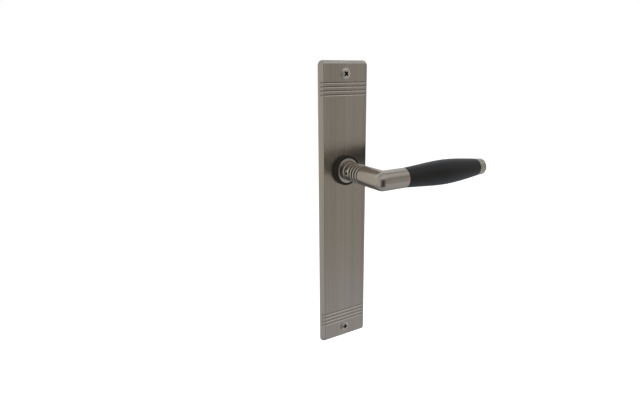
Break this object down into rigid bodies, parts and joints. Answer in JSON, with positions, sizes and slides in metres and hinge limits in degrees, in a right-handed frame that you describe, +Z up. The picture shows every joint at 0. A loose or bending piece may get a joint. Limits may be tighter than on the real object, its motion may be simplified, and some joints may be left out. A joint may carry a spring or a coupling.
{
  "type": "door lever on backplate",
  "caption": "Sprung door lever on a long bevelled backplate in satin nickel, with a black barrel grip, a ringed neck, a tight round elbow and raised countersunk fixing screws.",
  "frame": {"origin": "on the spindle axis, at the door face (the plane of the backplate's back)", "axes": "+X along the lever, +Y into the door (the front looks along -Y), +Z up the door"},
  "size_m": [0.1412, 0.0963, 0.2632],
  "materials": {
    "satin_nickel": "satin nickel plate, brushed up and down on the plate",
    "black_grip": "satin black",
    "black_nylon": "matt black",
    "screw_nickel": "nickel plate",
    "zinc_steel": "zinc plate",
    "spring_steel": "oiled spring steel"
  },
  "bodies": {
    "plate": {"backplate": "satin_nickel", "fixing_screw_top": "screw_nickel", "fixing_screw_bottom": "screw_nickel", "neck_bush": "black_nylon", "return_spring": "spring_steel", "spring_cover": "zinc_steel", "cover_screws": "zinc_steel"},
    "lever": {"lever_handle": "satin_nickel", "set_screw": "spring_steel", "thrust_washer": "zinc_steel", "driver_disc": "zinc_steel", "circlip": "spring_steel", "grip": "black_grip", "end_cap": "satin_nickel", "tie_rod": "zinc_steel"}
  },
  "joints": [
    {"name": "lever_turn", "type": "hinge", "parent": "plate", "child": "lever", "pos_m": [0, 0, 0], "axis": [0, 1, 0], "range_deg": [0, 45], "stiffness_Nm_per_rad": 0.25, "springref_deg": -40.11, "deforming": ["return_spring"]}
  ]
}
